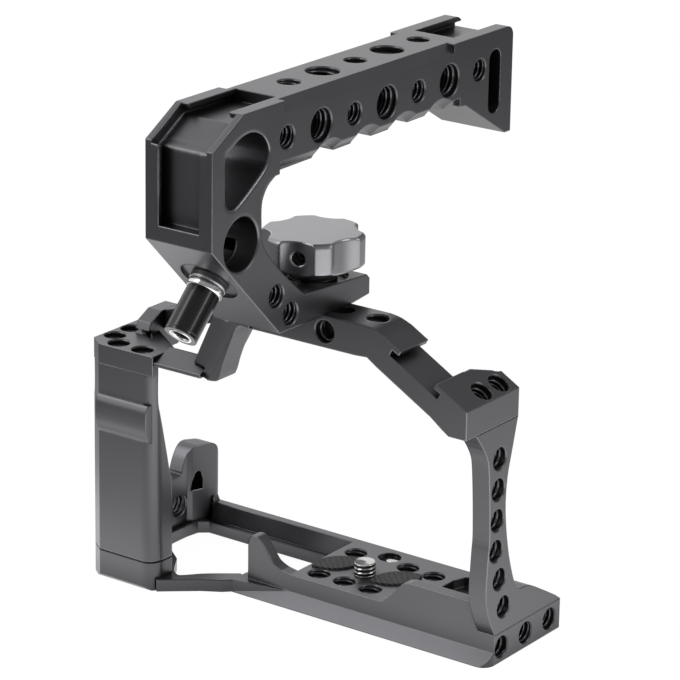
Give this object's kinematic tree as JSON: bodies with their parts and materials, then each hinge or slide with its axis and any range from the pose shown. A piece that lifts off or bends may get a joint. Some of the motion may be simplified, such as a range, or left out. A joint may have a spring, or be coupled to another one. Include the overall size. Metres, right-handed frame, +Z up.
{
  "type": "camera cage",
  "caption": "Half-open frame round a small camera, with a top handle over it, threaded holes, accessory tracks, a rod clamp and a star knob.",
  "frame": {"origin": "on the camera screw's axis, at the plane of the underside", "axes": "+Z up, +X towards the upright with the row of holes, -Y the front, where the lens points; the handle runs along Y"},
  "size_m": [0.1343, 0.1453, 0.1644],
  "materials": {
    "anodised_black": "satin black anodised",
    "silver_anodised": "satin silver anodised",
    "gloss_black": "polished black anodised",
    "bright_steel": "bright turned",
    "blackened_steel": "blackened",
    "plated_magnet": "plated",
    "pad_rubber": "matt, fine texture"
  },
  "bodies": {
    "cage": {"base_plate": "anodised_black", "side_upright": "anodised_black", "top_bar": "anodised_black", "shutter_loop": "anodised_black", "head_block": "anodised_black", "left_frame": "anodised_black", "grip_shell": "anodised_black", "grip_base_cap": "anodised_black", "thumb_rest": "anodised_black", "pad_left": "pad_rubber", "pad_right": "pad_rubber", "stowed_key": "bright_steel", "key_magnet": "plated_magnet", "upright_screws": "blackened_steel", "grip_screws": "blackened_steel", "frame_screws": "blackened_steel", "frame_dowels": "bright_steel", "handle_body": "anodised_black", "anti_twist_pins": "bright_steel"},
    "camera_screw_washer": {"camera_screw_ring": "blackened_steel"},
    "camera_screw_turning": {"camera_screw": "bright_steel"},
    "knob_slide": {"knob_washer": "blackened_steel"},
    "knob": {"star_knob": "silver_anodised", "knob_stud": "bright_steel", "knob_set_screw": "blackened_steel"},
    "clamp_screw": {"clamp_barrel": "gloss_black", "clamp_root_ring": "silver_anodised", "clamp_end_ring": "silver_anodised", "clamp_stud": "blackened_steel"},
    "cotter": {"clamp_cotter": "blackened_steel"}
  },
  "joints": [
    {"name": "camera_screw_travel", "type": "slide", "parent": "cage", "child": "camera_screw_washer", "axis": [0, 0, -1], "range_m": [0, 0.00381]},
    {"name": "camera_screw_turn", "type": "hinge", "parent": "camera_screw_washer", "child": "camera_screw_turning", "pos_m": [0, 0, 0.006], "axis": [0, 0, -1], "range_deg": [0, 1081]},
    {"name": "knob_lift", "type": "slide", "parent": "cage", "child": "knob_slide", "axis": [0, 0, 1], "range_m": [0, 0.00508]},
    {"name": "knob_turn", "type": "hinge", "parent": "knob_slide", "child": "knob", "pos_m": [-0.00455, -0.022, 0.111], "axis": [0, 0, 1], "range_deg": [0, 1441]},
    {"name": "clamp_turn", "type": "hinge", "parent": "cage", "child": "clamp_screw", "pos_m": [-0.00455, -0.0693, 0.11614], "axis": [0, -0.7071, -0.7071], "range_deg": [0, 721]},
    {"name": "cotter_travel", "type": "slide", "parent": "cage", "child": "cotter", "axis": [0, 0.7071, 0.7071], "range_m": [0, 0.002]}
  ],
  "couplings": [
    {"joint": "camera_screw_turn", "follows": "camera_screw_travel", "rad_per_m": 4947.4},
    {"joint": "knob_turn", "follows": "knob_lift", "rad_per_m": 4947.4},
    {"joint": "clamp_turn", "follows": "cotter_travel", "rad_per_m": 6283.2}
  ]
}
